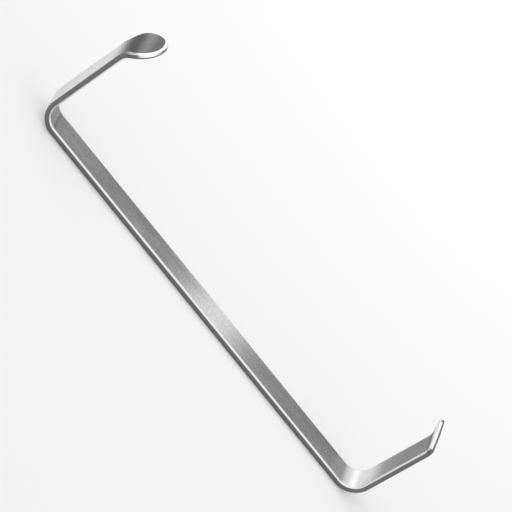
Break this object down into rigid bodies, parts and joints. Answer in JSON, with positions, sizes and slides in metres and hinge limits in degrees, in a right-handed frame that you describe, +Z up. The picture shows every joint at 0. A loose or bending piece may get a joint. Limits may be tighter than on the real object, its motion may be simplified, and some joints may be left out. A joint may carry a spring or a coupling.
{
  "type": "handheld surgical retractor",
  "caption": "Double-ended handheld surgical retractor bent from flat steel strip, with a blade turned up at each end and a rounded oval lip that leans in over the handle.",
  "frame": {"origin": "centre of the bounding box in X and Y, on the flat back of the handle", "axes": "+X along the handle towards the shorter blade, +Y across the strip, +Z up the blades, away from the handle's back"},
  "size_m": [0.1516, 0.0164, 0.0438],
  "materials": {
    "steel": "fine satin stainless steel, brighter along the rounded edges"
  },
  "bodies": {
    "root": {"retractor": "steel"}
  },
  "joints": []
}
